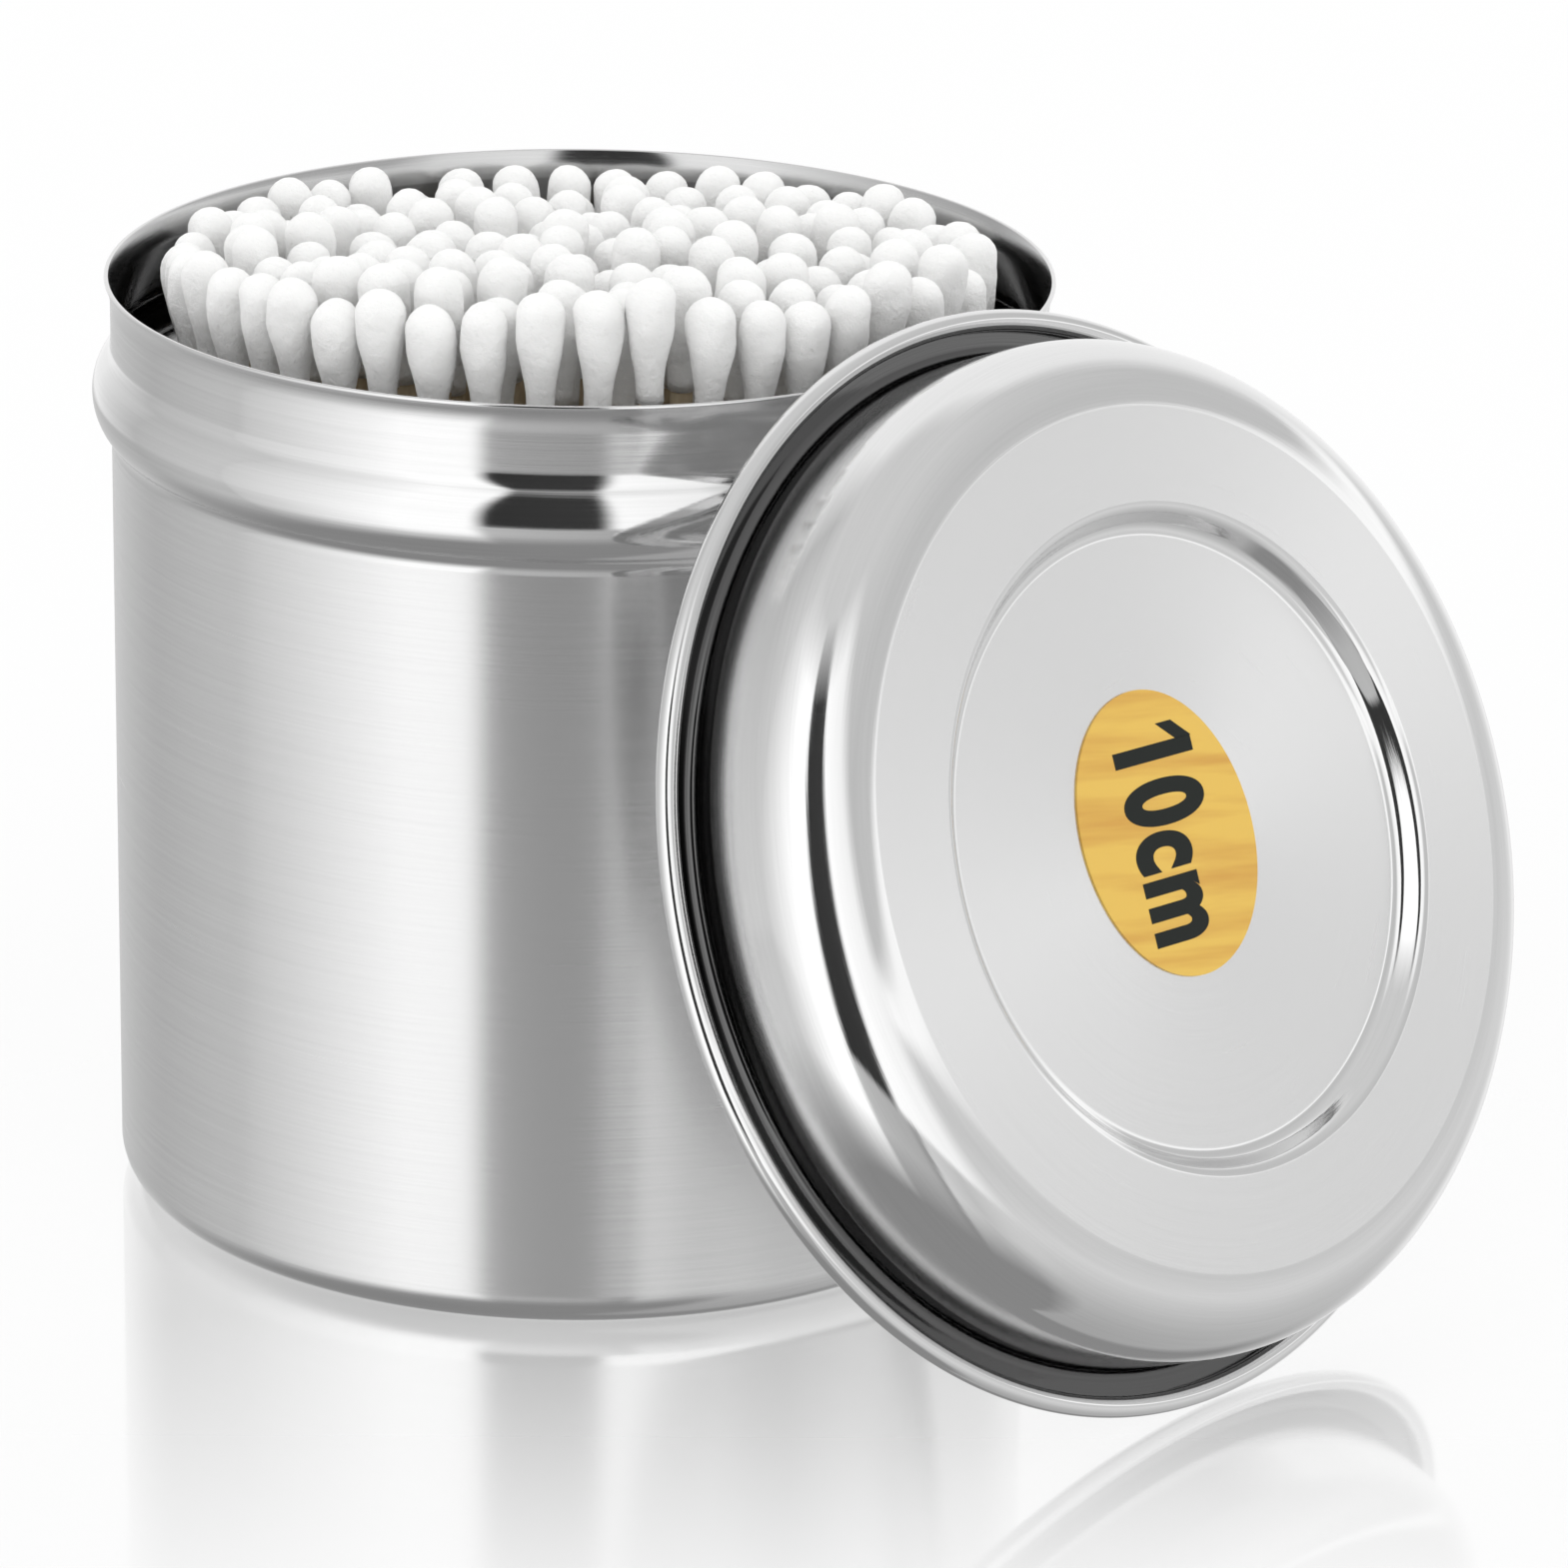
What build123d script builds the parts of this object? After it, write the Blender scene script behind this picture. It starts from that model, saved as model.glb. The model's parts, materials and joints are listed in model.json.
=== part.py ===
from build123d import *
import os
import random
from math import acos, atan2, cos, degrees, floor, hypot, pi, radians, sin, tan

# A drawn steel canister full of cotton swabs, with its lid leaning against the rim.
# Millimetres, +Z up. The origin is the centre of the canister's flat base.
# The lid leans on the side that lies between +X and -Y.

# Canister, one drawn sheet
JAR_HEIGHT = 100.0
RIM_RADIUS = 50.0
JAR_WALL = 0.5
BASE_CORNER = 4.0  # outer radius between the flat base and the wall
RIM_FLARE = 0.6  # how far the lip opens beyond the plain wall
FLARE_RADIUS = 6.0
BEAD_PROUD = 2.0
BEAD_BELOW_RIM = 12.4  # from the rim down to the crest of the bead
BEAD_CREST_RADIUS = 5.5
BEAD_ROOT_RADIUS = 2.5

# Lid, one drawn sheet
LID_WALL = 0.5
LID_FIT = 1.3  # radial clearance between the rim and the inside of the skirt
LID_HEIGHT = 18.0
LID_SHOULDER = 7.5  # inner radius between the ring face and the skirt
LID_FOOT = 1.6  # under-side radius where the skirt turns out into the flange
CURL_RADIUS = 1.1  # outer radius of the curled edge
FLANGE_REACH = 4.2  # from the inside of the skirt to the middle of the curl
CURL_TURN = 290.0  # degrees of sheet rolled up at the edge
RECESS_RADIUS = 31.0  # flat disc inside the step
RECESS_DEPTH = 2.4
STEP_ANGLE = 58.0  # steepness of the step between disc and ring face
STEP_HOLLOW = 2.0  # under-side radius at the foot of the step
STEP_CROWN = 0.9  # under-side radius at the top of the step

# How the lid leans
LEAN_BEARING = 45.0  # degrees from +X towards -Y
FLANGE_REST = 0.39  # from the inside of the skirt out to where the flange meets the rim
LEAST_LEAN = 10.0  # degrees from upright; where the rim is out of reach, the lid rests on the bead
LEAN_OFFSET = 0.5  # the lid's middle, sideways from the line through the jar's axis
REST_GAP = 0.3  # clearance where one piece rests on another

# Oval size label on the disc
LABEL_LENGTH = 29.4
LABEL_WIDTH = 24.4
LABEL_THICKNESS = 0.2
LABEL_TURN = 96.0  # degrees from the lid's level direction
LABEL_SHIFT = (-1.4, 1.1)

# Cotton swabs, standing in rings that open out towards the top
STICK_DIAMETER = 2.3
HEAD_DIAMETER = 5.0
HEAD_NECK_DIAMETER = 2.9
HEAD_LENGTH = 13.0
HEAD_SIDES = 8
WALL_GAP = 5.0  # between the outer ring of heads and the neck, if the bundle stood in the middle
BUNDLE_SHIFT = 2.0  # how far the heads crowd towards -Y
OUTER_PITCH = 5.6  # along the outer ring, from head to head
INNER_PITCH = 6.2  # along the inner rings
RING_PITCH = 6.3  # from ring to ring
FOOT_SPREAD_RATIO = 0.86  # the rings are this much smaller at the floor
TIPS_ABOVE_RIM = 4.6  # middle of the bundle
TIP_SLOPE_RATIO = 0.115  # the tips rise this much per millimetre towards -Y
TIP_SCATTER = 1.9
HEAD_WANDER = 0.25
FOOT_WANDER = 0.9
SCATTER_SEED = 11

# Worked out from the above
TUBE_RADIUS = RIM_RADIUS - RIM_FLARE
SKIRT_INNER = RIM_RADIUS + LID_FIT
CURL_CENTRE = SKIRT_INNER + FLANGE_REACH
OUTER_RING = TUBE_RADIUS - JAR_WALL - WALL_GAP - HEAD_DIAMETER / 2

# The widest part of a cotton head and the round of its tip, as (share of length, share of width)
HEAD_STATIONS = ((0.68, 1.0), (0.88, 0.80), (1.0, 0.30))


def walk(start, steps):
    """The outline drawn from start, heading away from Z. Each step is a straight's length with
    a turn of 0, or an arc's radius with the degrees that it turns to the left."""
    at, heading = Vector(*start), Vector(1, 0)
    edges = []
    for size, turn in steps:
        edge = JernArc(at, heading, size, turn) if turn else Line(at, at + size * heading)
        at, heading = edge @ 1, edge % 1
        edges.append(edge)
    return edges


def sheet_of_revolution(start, steps, thickness):
    """A sheet of even thickness turned about Z, with the drawn outline as its right-hand face."""
    right = walk(start, steps)
    widened = [(size - thickness * (turn > 0) + thickness * (turn < 0), turn) for size, turn in steps]
    left = walk((start[0], start[1] + thickness), widened)
    ends = [Line(right[0] @ 0, left[0] @ 0), Line(right[-1] @ 1, left[-1] @ 1)]
    return revolve(Plane.XZ * make_face(right + left + ends), Axis.Z)


def jar_body():
    """The canister, from the middle of its base up to the lip, drawn along its outside."""
    swing = acos(1 - BEAD_PROUD / (BEAD_CREST_RADIUS + BEAD_ROOT_RADIUS))
    bead_half = (BEAD_CREST_RADIUS + BEAD_ROOT_RADIUS) * sin(swing)
    bead_crest = JAR_HEIGHT - BEAD_BELOW_RIM
    flare = acos(1 - RIM_FLARE / FLARE_RADIUS)
    flare_start = JAR_HEIGHT - (FLARE_RADIUS + JAR_WALL) * sin(flare)
    steps = [
        (TUBE_RADIUS - BASE_CORNER, 0),
        (BASE_CORNER, 90),
        (bead_crest - bead_half - BASE_CORNER, 0),
        (BEAD_ROOT_RADIUS, -degrees(swing)),
        (BEAD_CREST_RADIUS, 2 * degrees(swing)),
        (BEAD_ROOT_RADIUS, -degrees(swing)),
        (flare_start - bead_crest - bead_half, 0),
        (FLARE_RADIUS, -degrees(flare)),
    ]
    return sheet_of_revolution((0, 0), steps, JAR_WALL)


def lid_shell():
    """The lid about its own axis, drawn along its under-side, with the flange's back at height 0."""
    step = radians(STEP_ANGLE)
    under_ring = LID_HEIGHT - LID_WALL
    ramp = (RECESS_DEPTH - (STEP_HOLLOW + STEP_CROWN) * (1 - cos(step))) / sin(step)
    step_run = (STEP_HOLLOW + STEP_CROWN) * sin(step) + ramp * cos(step)
    steps = [
        (RECESS_RADIUS, 0),
        (STEP_HOLLOW, STEP_ANGLE),
        (ramp, 0),
        (STEP_CROWN, -STEP_ANGLE),
        (SKIRT_INNER - LID_SHOULDER - RECESS_RADIUS - step_run, 0),
        (LID_SHOULDER, -90),
        (under_ring - LID_SHOULDER - LID_FOOT, 0),
        (LID_FOOT, 90),
        (FLANGE_REACH - LID_FOOT, 0),
        (CURL_RADIUS, CURL_TURN),
    ]
    return sheet_of_revolution((0, under_ring - RECESS_DEPTH), steps, LID_WALL)


def size_label():
    """The oval label, lying on the lid's disc, in the lid's own frame."""
    disc_top = LID_HEIGHT - RECESS_DEPTH
    seat = Pos(*LABEL_SHIFT, disc_top) * Rot(0, 0, LABEL_TURN)
    return seat * extrude(Ellipse(LABEL_LENGTH / 2, LABEL_WIDTH / 2), LABEL_THICKNESS)


def lid_lean():
    """The lean from upright, with the radius and height of the jar's circle that the flange meets."""
    span = CURL_CENTRE + SKIRT_INNER + FLANGE_REST
    rests = [(RIM_RADIUS, JAR_HEIGHT), (TUBE_RADIUS + BEAD_PROUD, JAR_HEIGHT - BEAD_BELOW_RIM)]
    for radius, height in rests:
        rise = (height - REST_GAP - CURL_RADIUS) / hypot(span, CURL_RADIUS)
        if rise < cos(radians(LEAST_LEAN)):
            break
    return acos(rise) - atan2(CURL_RADIUS, span), radius, height


def lid_place():
    """Where the lid leans: its curl stands on the floor and its flange rests against the jar."""
    bearing = radians(LEAN_BEARING)
    lean, rest_radius, rest_height = lid_lean()
    outward = Vector(cos(bearing), -sin(bearing), 0)
    sideways = Vector(sin(bearing), cos(bearing), 0)
    middle_height = REST_GAP + CURL_RADIUS + CURL_CENTRE * cos(lean) - CURL_RADIUS * sin(lean)
    reach = rest_radius + REST_GAP / cos(lean) + (rest_height - middle_height) * tan(lean)
    middle = outward * reach + sideways * LEAN_OFFSET + Vector(0, 0, middle_height)
    axis = outward * cos(lean) + Vector(0, 0, sin(lean))
    return Plane(origin=middle, x_dir=sideways, z_dir=axis)


def cotton_head():
    """A plain many-sided bud: narrow at the stick, widest near the top, rounded off."""
    sections = [RegularPolygon(HEAD_NECK_DIAMETER / 2, HEAD_SIDES)]
    for along, across in HEAD_STATIONS:
        section = RegularPolygon(across * HEAD_DIAMETER / 2, HEAD_SIDES)
        sections.append(Pos(0, 0, along * HEAD_LENGTH) * section)
    return loft(sections, ruled=True)


def swab_rings():
    """For each ring, from the outside in, each swab's foot and tip."""
    dice = random.Random(SCATTER_SEED)
    rings = []
    radius = OUTER_RING
    while radius > HEAD_DIAMETER / 2:
        pitch = OUTER_PITCH if not rings else INNER_PITCH
        count = floor(2 * pi * radius / pitch)
        start = dice.uniform(0, 2 * pi)
        ring = []
        for index in range(count):
            bearing = start + 2 * pi * index / count
            ray = Vector(cos(bearing), sin(bearing), 0)
            drift = Vector(dice.uniform(-1, 1), dice.uniform(-1, 1), 0)
            stray = Vector(dice.uniform(-1, 1), dice.uniform(-1, 1), 0)
            tip = ray * radius + drift * HEAD_WANDER - Vector(0, BUNDLE_SHIFT, 0)
            foot = ray * (radius * FOOT_SPREAD_RATIO) + stray * FOOT_WANDER
            rise = TIPS_ABOVE_RIM - TIP_SLOPE_RATIO * tip.Y + dice.uniform(-1, 1) * TIP_SCATTER
            tip += Vector(0, 0, JAR_HEIGHT + rise)
            foot += Vector(0, 0, JAR_WALL + REST_GAP)
            ring.append((foot, tip))
        rings.append(ring)
        radius -= RING_PITCH
    return rings


def standing_swab(foot, tip, head):
    """The stick and the cotton head of one swab, end to end along its own axis."""
    along = (tip - foot).normalized()
    stick_length = (tip - foot).length - HEAD_LENGTH
    at_foot = Plane(origin=foot, z_dir=along)
    at_neck = Plane(origin=foot + along * stick_length, z_dir=along)
    from_foot = (Align.CENTER, Align.CENTER, Align.MIN)
    stick = at_foot * Cylinder(STICK_DIAMETER / 2, stick_length, align=from_foot)
    return stick, at_neck * head


os.makedirs("parts", exist_ok=True)
export_step(jar_body(), "parts/jar_body.step")
export_step(lid_place() * lid_shell(), "parts/lid_shell.step")
export_step(lid_place() * size_label(), "parts/size_label.step")

bud = cotton_head()
for number, ring in enumerate(swab_rings(), start=1):
    swabs = [standing_swab(foot, tip, bud) for foot, tip in ring]
    export_step(Compound([stick for stick, _ in swabs]), f"parts/swab_sticks_{number}.step")
    export_step(Compound([head for _, head in swabs]), f"parts/cotton_heads_{number}.step")
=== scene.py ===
"""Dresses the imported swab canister: brushed steel, wound cotton, birch sticks and an oval label."""

import json
import logging
import math
from dataclasses import dataclass, field
from enum import Enum

import bpy
import numpy as np
from mathutils import Matrix

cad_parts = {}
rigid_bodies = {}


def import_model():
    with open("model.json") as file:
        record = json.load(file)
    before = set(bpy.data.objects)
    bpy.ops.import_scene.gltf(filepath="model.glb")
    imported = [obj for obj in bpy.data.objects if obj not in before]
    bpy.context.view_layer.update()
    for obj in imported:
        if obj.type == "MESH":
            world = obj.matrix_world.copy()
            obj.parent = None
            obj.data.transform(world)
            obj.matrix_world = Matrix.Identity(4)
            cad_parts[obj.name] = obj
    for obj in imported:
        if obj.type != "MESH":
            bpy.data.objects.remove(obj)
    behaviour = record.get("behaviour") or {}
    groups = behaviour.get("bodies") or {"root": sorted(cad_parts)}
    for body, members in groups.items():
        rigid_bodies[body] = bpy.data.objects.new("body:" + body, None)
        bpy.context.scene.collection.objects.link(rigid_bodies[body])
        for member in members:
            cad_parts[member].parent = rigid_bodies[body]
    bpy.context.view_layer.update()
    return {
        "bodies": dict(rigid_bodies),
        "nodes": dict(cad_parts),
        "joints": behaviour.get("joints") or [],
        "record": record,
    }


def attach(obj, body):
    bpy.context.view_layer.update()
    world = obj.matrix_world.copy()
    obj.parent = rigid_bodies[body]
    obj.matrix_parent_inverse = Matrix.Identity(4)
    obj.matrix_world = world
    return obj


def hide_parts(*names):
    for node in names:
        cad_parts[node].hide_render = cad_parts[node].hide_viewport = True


log = logging.getLogger("canister")
MM = 0.001
SHEET_MAP = "sheet"
EDGE_STEP = 22.5  # degrees between the points of a rounded free edge
Span = tuple[float, float]
Triple = tuple[float, float, float]
Stops = tuple[Span, ...]
Tree = bpy.types.NodeTree
Output = bpy.types.NodeSocket


class Polish(Enum):
    """How bright a stretch of sheet is finished: 0 is satin, 1 is mirror."""

    SATIN = 0.0
    FINE = 0.6
    BRIGHT = 1.0


def socket(node: bpy.types.Node, name: str, value: object) -> None:
    """Sets one input of a shader node.

    Args:
        node: the node.
        name: the input's name.
        value: a number or colour.
    """
    node.inputs[name].default_value = value


def grey(level: float) -> tuple[float, float, float, float]:
    """A neutral colour.

    Args:
        level: how bright it is, linear.

    Returns:
        The colour, opaque.
    """
    return (level, level, level, 1.0)


def started(name: str) -> tuple[bpy.types.Material, Tree]:
    """Begins a material.

    Args:
        name: the material's name.

    Returns:
        The material and its tree of nodes.
    """
    made = bpy.data.materials.new(name)
    made.use_nodes = True
    return made, made.node_tree


def linked(name: str, data: bpy.types.ID) -> bpy.types.Object:
    """Adds an object to the scene.

    Args:
        name: the object's name.
        data: its mesh, curve or camera.

    Returns:
        The object.
    """
    made = bpy.data.objects.new(name, data)
    bpy.context.scene.collection.objects.link(made)
    return made


def ranged(tree: Tree, value: Output, before: Span, after: Span = (0.0, 1.0)) -> Output:
    """Maps one range of a value onto another and holds it at both ends.

    Args:
        tree: where the node goes.
        value: the value to map.
        before: the value at the two ends.
        after: what those ends become.

    Returns:
        The mapped value.
    """
    node = tree.nodes.new("ShaderNodeMapRange")
    socket(node, "From Min", before[0])
    socket(node, "From Max", before[1])
    socket(node, "To Min", after[0])
    socket(node, "To Max", after[1])
    tree.links.new(value, node.inputs["Value"])
    return node.outputs["Result"]


def combined(tree: Tree, operation: str, first: Output, second: Output | float) -> Output:
    """Adds or multiplies two values.

    Args:
        tree: where the node goes.
        operation: the sum, as the node names it.
        first: the first value.
        second: the second, a socket or a plain number.

    Returns:
        The outcome.
    """
    node = tree.nodes.new("ShaderNodeMath")
    node.operation = operation
    tree.links.new(first, node.inputs[0])
    if isinstance(second, float):
        node.inputs[1].default_value = second
    else:
        tree.links.new(second, node.inputs[1])
    return node.outputs["Value"]


def mixed(tree: Tree, share: Output, first: Output, second: Output) -> Output:
    """A mix of two shaders.

    Args:
        tree: where the node goes.
        share: how much of the second.
        first: the first shader.
        second: the second shader.

    Returns:
        The mixed shader.
    """
    node = tree.nodes.new("ShaderNodeMixShader")
    for place, source in enumerate((share, first, second)):
        tree.links.new(source, node.inputs[place])
    return node.outputs["Shader"]


def attribute(tree: Tree, name: str) -> Output:
    """A value that the mesh keeps for each of its points.

    Args:
        tree: where the node goes.
        name: the attribute's name.

    Returns:
        The value.
    """
    node = tree.nodes.new("ShaderNodeAttribute")
    node.attribute_name = name
    return node.outputs["Fac"]


def roughened(tree: Tree, height: Output, strength: float, distance: float) -> None:
    """Gives the material's surface shader a relief.

    Args:
        tree: the material's nodes.
        height: the relief.
        strength: how strongly it shows.
        distance: how high it is, in metres.
    """
    bump = tree.nodes.new("ShaderNodeBump")
    socket(bump, "Strength", strength)
    socket(bump, "Distance", distance)
    tree.links.new(height, bump.inputs["Height"])
    tree.links.new(bump.outputs["Normal"], tree.nodes["Principled BSDF"].inputs["Normal"])


def streaked(
    tree: Tree,
    place: Output,
    scale: Triple,
    grain: Span,
    stops: tuple[tuple[float, Triple], ...],
) -> None:
    """Colours the material's surface shader with a stretched noise.

    Args:
        tree: the material's nodes.
        place: the coordinates.
        scale: how finely the noise repeats along each of them.
        grain: the noise's detail and distortion.
        stops: two pairs of noise level and colour.
    """
    stretch = tree.nodes.new("ShaderNodeMapping")
    socket(stretch, "Scale", scale)
    streaks = tree.nodes.new("ShaderNodeTexNoise")
    socket(streaks, "Scale", 1.0)
    socket(streaks, "Detail", grain[0])
    socket(streaks, "Distortion", grain[1])
    colours = tree.nodes.new("ShaderNodeValToRGB")
    for element, (position, colour) in zip(colours.color_ramp.elements, stops):
        element.position = position
        element.color = (*colour, 1.0)
    tree.links.new(place, stretch.inputs["Vector"])
    tree.links.new(stretch.outputs["Vector"], streaks.inputs["Vector"])
    tree.links.new(streaks.outputs["Fac"], colours.inputs["Fac"])
    tree.links.new(colours.outputs["Color"], tree.nodes["Principled BSDF"].inputs["Base Color"])


@dataclass(frozen=True)
class Brushing:
    """Long fine scratches, as a group of nodes that the steel finishes share."""

    name: str = "fine_brushing"
    layer_scales: Span = (1.0, 0.31)
    detail: float = 3.0
    roughness: float = 0.6

    def group(self) -> Tree:
        """Builds the group: two layers of noise, one fine and one coarse, averaged.

        Returns:
            The group. It takes a vector whose first part runs along the scratches and gives a mask.
        """
        tree = bpy.data.node_groups.new(self.name, "ShaderNodeTree")
        tree.interface.new_socket("Along", in_out="INPUT", socket_type="NodeSocketVector")
        tree.interface.new_socket("Mask", in_out="OUTPUT", socket_type="NodeSocketFloat")
        entry = tree.nodes.new("NodeGroupInput")
        leave = tree.nodes.new("NodeGroupOutput")
        mean = tree.nodes.new("ShaderNodeMix")
        for place, scale in enumerate(self.layer_scales, start=2):
            noise = tree.nodes.new("ShaderNodeTexNoise")
            stretch = tree.nodes.new("ShaderNodeVectorMath")
            stretch.operation = "SCALE"
            socket(stretch, "Scale", scale)
            tree.links.new(entry.outputs["Along"], stretch.inputs[0])
            tree.links.new(stretch.outputs[0], noise.inputs["Vector"])
            socket(noise, "Scale", 1.0)
            socket(noise, "Detail", self.detail)
            socket(noise, "Roughness", self.roughness)
            tree.links.new(noise.outputs["Fac"], mean.inputs[place])
        tree.links.new(mean.outputs[0], leave.inputs["Mask"])
        return tree


@dataclass(frozen=True)
class SteelFinish:
    """Drawn steel, brushed along its first surface direction, brighter where it is polished, and darkened
    where shade is painted onto it.
    """

    name: str
    tone: float
    satin_roughness: float
    bright_roughness: float
    grain_depth: float
    anisotropy: float
    streaks: float
    scratch_scale: Triple = (55.0, 5200.0, 1.0)
    mask_span: Span = (0.3, 0.7)
    roughness_spread: float = 0.03
    # how much of the colour is left where the painted shade is full
    darkest_painted_shade: float = 0.04
    grain_height: float = 0.00002
    grain_rotation: float = 0.25

    def material(self, brushing: Tree) -> bpy.types.Material:
        """Builds the shader.

        Args:
            brushing: the group of fine scratches.

        Returns:
            The material.
        """
        made, tree = started(self.name)
        nodes, links = tree.nodes, tree.links
        shader = nodes["Principled BSDF"]
        socket(shader, "Metallic", 1.0)
        socket(shader, "Anisotropic", self.anisotropy)
        socket(shader, "Anisotropic Rotation", self.grain_rotation)
        place = nodes.new("ShaderNodeUVMap")
        place.uv_map = SHEET_MAP
        across = nodes.new("ShaderNodeMapping")
        socket(across, "Scale", self.scratch_scale)
        scratches = nodes.new("ShaderNodeGroup")
        scratches.node_tree = brushing
        links.new(place.outputs["UV"], across.inputs["Vector"])
        links.new(across.outputs["Vector"], scratches.inputs["Along"])
        mask = scratches.outputs["Mask"]
        roughnesses = (self.satin_roughness, self.bright_roughness)
        level = ranged(tree, attribute(tree, "polish"), (0.0, 1.0), roughnesses)
        spread = ranged(tree, mask, self.mask_span, (-self.roughness_spread, self.roughness_spread))
        links.new(combined(tree, "ADD", level, spread), shader.inputs["Roughness"])
        tones = (self.tone * (1 - self.streaks), self.tone * (1 + self.streaks))
        shade = ranged(tree, mask, self.mask_span, tones)
        # Painted shade: an attribute of the mesh darkens the base colour, standing in for the shade in the
        # lid's groove and inside the canister.
        left = ranged(tree, attribute(tree, "painted_shade"), (0.0, 1.0), (1.0, self.darkest_painted_shade))
        links.new(combined(tree, "MULTIPLY", shade, left), shader.inputs["Base Color"])
        roughened(tree, mask, self.grain_depth, self.grain_height)
        grain = nodes.new("ShaderNodeTangent")
        grain.direction_type = "UV_MAP"
        grain.uv_map = SHEET_MAP
        links.new(grain.outputs["Tangent"], shader.inputs["Tangent"])
        return made


@dataclass(frozen=True)
class CottonFinish:
    """Wound white cotton: matt, with a faint fibrous relief."""

    name: str = "wound_cotton"
    tone: float = 0.93
    warmth: float = 0.992
    roughness: float = 0.95
    gloss: float = 0.1
    sheen: float = 0.15
    fibre_scale: float = 750.0
    fibre_detail: float = 6.0
    fibre_roughness: float = 0.7
    relief: float = 0.8
    relief_height: float = 0.0005

    def material(self) -> bpy.types.Material:
        """Builds the shader.

        Returns:
            The material.
        """
        made, tree = started(self.name)
        shader = tree.nodes["Principled BSDF"]
        socket(shader, "Base Color", (self.tone, self.tone, self.tone * self.warmth, 1.0))
        socket(shader, "Roughness", self.roughness)
        socket(shader, "Specular IOR Level", self.gloss)
        socket(shader, "Sheen Weight", self.sheen)
        place = tree.nodes.new("ShaderNodeTexCoord")
        fibres = tree.nodes.new("ShaderNodeTexNoise")
        socket(fibres, "Scale", self.fibre_scale)
        socket(fibres, "Detail", self.fibre_detail)
        socket(fibres, "Roughness", self.fibre_roughness)
        tree.links.new(place.outputs["Object"], fibres.inputs["Vector"])
        roughened(tree, fibres.outputs["Fac"], self.relief, self.relief_height)
        return made


@dataclass(frozen=True)
class BirchFinish:
    """Plain pale birch, with streaks that run up the stick."""

    name: str = "pale_birch"
    dark: Triple = (0.52, 0.40, 0.26)
    light: Triple = (0.78, 0.68, 0.50)
    roughness: float = 0.6
    streak_scale: Triple = (1800.0, 1800.0, 60.0)
    grain: Span = (2.0, 0.0)

    def material(self) -> bpy.types.Material:
        """Builds the shader.

        Returns:
            The material.
        """
        made, tree = started(self.name)
        socket(tree.nodes["Principled BSDF"], "Roughness", self.roughness)
        place = tree.nodes.new("ShaderNodeTexCoord")
        stops = ((0.0, self.dark), (1.0, self.light))
        streaked(tree, place.outputs["Object"], self.streak_scale, self.grain, stops)
        return made


@dataclass(frozen=True)
class WoodPrintFinish:
    """Printed golden wood grain, with darker streaks across the label."""

    name: str = "golden_wood_print"
    light: Triple = (0.74, 0.475, 0.08)
    dark: Triple = (0.62, 0.33, 0.05)
    roughness: float = 0.35
    streak_scale: Triple = (330.0, 26.0, 1.0)
    grain: Span = (4.0, 0.15)
    contrast: Span = (0.36, 0.56)

    def material(self) -> bpy.types.Material:
        """Builds the shader.

        Returns:
            The material.
        """
        made, tree = started(self.name)
        socket(tree.nodes["Principled BSDF"], "Roughness", self.roughness)
        place = tree.nodes.new("ShaderNodeUVMap")
        place.uv_map = SHEET_MAP
        stops = ((self.contrast[0], self.dark), (self.contrast[1], self.light))
        streaked(tree, place.outputs["UV"], self.streak_scale, self.grain, stops)
        return made


@dataclass(frozen=True)
class PlainFinish:
    """One flat colour."""

    name: str
    colour: Triple
    roughness: float
    gloss: float = 0.25

    def material(self) -> bpy.types.Material:
        """Builds the shader.

        Returns:
            The material.
        """
        made, tree = started(self.name)
        shader = tree.nodes["Principled BSDF"]
        socket(shader, "Base Color", (*self.colour, 1.0))
        socket(shader, "Roughness", self.roughness)
        socket(shader, "Specular IOR Level", self.gloss)
        return made


@dataclass
class Walk:
    """An outline of straights and tangent arcs, sampled densely enough for smooth shading."""

    start: tuple[float, float]
    arc_step: float = 6.0
    least_parts: int = 3
    edge_inset: float = 0.2
    widest_inset: float = 0.2
    points: list[tuple[float, float, float, float]] = field(default_factory=list)
    at: np.ndarray = field(init=False)
    heading: float = field(default=0.0, init=False)
    last: Span = field(default=(0.0, 0.0), init=False)

    def __post_init__(self) -> None:
        """Starts at the first point, heading away from the axis."""
        self.at = np.array(self.start, float)

    def go(self, size: float, turn: float, polish: Polish, painted_shade: float = 0.0) -> "Walk":
        """Adds one stretch. A straight has a turn of 0; an arc turns left by the degrees given.

        Args:
            size: the straight's length or the arc's radius.
            turn: degrees to the left, negative to the right.
            polish: the stretch's finish.
            painted_shade: painted shade on the stretch's left-hand face, 0 to 1, darkening its colour where
                shade falls.

        Returns:
            The walk itself.
        """
        if turn:
            parts = np.linspace(0, 1, max(self.least_parts, math.ceil(abs(turn) / self.arc_step)) + 1)
            side = math.copysign(1.0, turn)
            normal = self.heading + side * math.pi / 2
            centre = self.at + size * np.array([math.cos(normal), math.sin(normal)])
            swept = normal + math.pi + np.radians(turn) * parts
            where = centre + size * np.stack([np.cos(swept), np.sin(swept)], 1)
            self.heading += math.radians(turn)
        else:
            inset = min(self.edge_inset / size, self.widest_inset)
            parts = np.array([0, inset, 0.5, 1 - inset, 1])
            along = np.array([math.cos(self.heading), math.sin(self.heading)])
            where = self.at + size * parts[:, None] * along
        self.points += [(float(r), float(z), polish.value, painted_shade) for r, z in where[:-1]]
        self.at = where[-1]
        self.last = (polish.value, painted_shade)
        return self

    def stations(self) -> np.ndarray:
        """Every sampled point, the last one included.

        Returns:
            Radius, height, polish and painted shade of each.
        """
        return np.array(self.points + [(float(self.at[0]), float(self.at[1]), *self.last)])


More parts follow.
